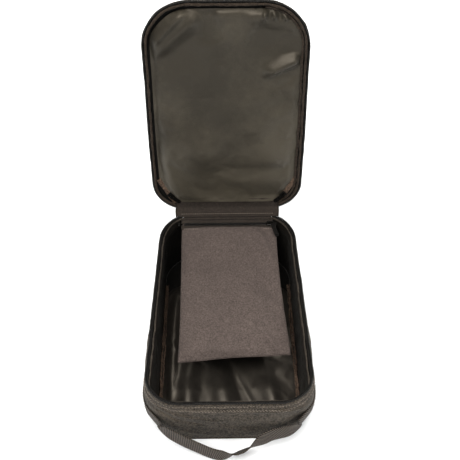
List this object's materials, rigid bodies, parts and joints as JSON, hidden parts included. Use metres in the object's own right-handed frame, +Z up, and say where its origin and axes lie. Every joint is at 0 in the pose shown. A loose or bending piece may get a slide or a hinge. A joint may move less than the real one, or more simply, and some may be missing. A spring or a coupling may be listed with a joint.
{
  "type": "miniature carry case",
  "caption": "Soft rectangular carry case for tabletop miniatures, with a zip-round lid on a cloth hinge, a zipped inner pouch and a webbing handle.",
  "frame": {"origin": "middle of the bottom panel's underside, on the table", "axes": "+Z up; -Y towards the carrying handle; +Y towards the lid's hinge; X across the case"},
  "size_m": [0.2042, 0.3954, 0.3974],
  "materials": {
    "woven_polyester": "matt coarse plain-woven polyester",
    "pouch_polyester": "matt plain-woven polyester",
    "coated_lining": "smooth woven lining with a light sheen",
    "wall_lining": "dull dark lining",
    "binding_tape": "soft woven binding tape",
    "webbing": "twill-woven webbing",
    "zip_tape": "herringbone zip tape",
    "zip_coil": "nylon coil",
    "foam_board": "closed-cell foam board",
    "plastic_board": "stiff plastic sheet",
    "black_metal": "black plated zinc"
  },
  "bodies": {
    "base": {"base_bottom_board": "plastic_board", "base_bottom_panel": "woven_polyester", "base_piping": "woven_polyester", "base_rim_binding": "binding_tape", "base_zip_coil": "zip_coil", "base_zip_tape": "zip_tape", "floor_liner": "coated_lining", "floor_seam_binding": "binding_tape", "foam_board_back": "foam_board", "foam_board_front": "foam_board", "foam_board_left": "foam_board", "foam_board_right": "foam_board", "handle_tab_left": "webbing", "handle_tab_right": "webbing", "hinge_strip_inner": "pouch_polyester", "hinge_strip_outer": "woven_polyester", "pouch_header": "woven_polyester", "wall_lining_back": "wall_lining", "wall_lining_front": "wall_lining", "wall_lining_left": "wall_lining", "wall_lining_right": "wall_lining", "wall_panel_back": "woven_polyester", "wall_panel_front": "woven_polyester", "wall_panel_left": "woven_polyester", "wall_panel_right": "woven_polyester"},
    "lid": {"lid_board": "foam_board", "lid_gusset": "woven_polyester", "lid_lining": "coated_lining", "lid_piping": "woven_polyester", "lid_rim_binding": "binding_tape", "lid_top_panel": "woven_polyester", "lid_zip_coil": "zip_coil", "lid_zip_tape": "zip_tape", "zip_end_left": "binding_tape", "zip_end_right": "binding_tape"},
    "pouch": {"pouch_back_panel": "pouch_polyester", "pouch_front_panel": "pouch_polyester", "pouch_seam": "pouch_polyester", "pouch_zip_coil": "zip_coil", "pouch_zip_stop_left": "black_metal", "pouch_zip_stop_right": "black_metal", "pouch_zip_tape_lower": "zip_tape", "pouch_zip_tape_upper": "zip_tape"},
    "pouch_slider": {"pouch_slider": "black_metal"},
    "pouch_pull": {"pouch_pull": "black_metal"},
    "left_slider": {"left_slider": "black_metal"},
    "left_pull": {"left_pull": "black_metal"},
    "right_slider": {"right_slider": "black_metal"},
    "right_pull": {"right_pull": "black_metal"},
    "handle": {"handle_webbing": "webbing"}
  },
  "joints": [
    {"name": "lid_hinge", "type": "hinge", "parent": "base", "child": "lid", "pos_m": [0, 0.1505, 0.1025], "axis": [-1, 0, 0], "range_deg": [-100, 80], "deforming": ["hinge_strip_inner", "hinge_strip_outer"]},
    {"name": "pouch_hinge", "type": "hinge", "parent": "base", "child": "pouch", "pos_m": [0, 0.1383, 0.099], "axis": [-1, 0, 0], "range_deg": [-14, 95]},
    {"name": "pouch_zip_slide", "type": "slide", "parent": "pouch", "child": "pouch_slider", "axis": [-1, 0, 0], "range_m": [0, 0.12]},
    {"name": "pouch_pull_swing", "type": "hinge", "parent": "pouch_slider", "child": "pouch_pull", "pos_m": [0.063, 0.129, 0.10062], "axis": [0, -0.134, 0.991], "range_deg": [-20, 50]},
    {"name": "left_slider_track", "type": "hinge", "parent": "lid", "child": "left_slider", "pos_m": [-0.052, 0.16323, 0.15052], "axis": [0, 0.9848, -0.1736], "range_deg": [0, 22]},
    {"name": "right_slider_track", "type": "hinge", "parent": "lid", "child": "right_slider", "pos_m": [0.052, 0.16323, 0.15052], "axis": [0, -0.9848, 0.1736], "range_deg": [0, 22]},
    {"name": "left_pull_swing", "type": "hinge", "parent": "left_slider", "child": "left_pull", "pos_m": [-0.07675, 0.15595, 0.12508], "axis": [0, -0.9848, 0.1736], "range_deg": [0, 60]},
    {"name": "right_pull_swing", "type": "hinge", "parent": "right_slider", "child": "right_pull", "pos_m": [0.07675, 0.15595, 0.12508], "axis": [0, 0.9848, -0.1736], "range_deg": [0, 60]},
    {"name": "handle_swing", "type": "hinge", "parent": "base", "child": "handle", "pos_m": [0, -0.15, 0.047], "axis": [-1, 0, 0], "range_deg": [0, 85]}
  ]
}
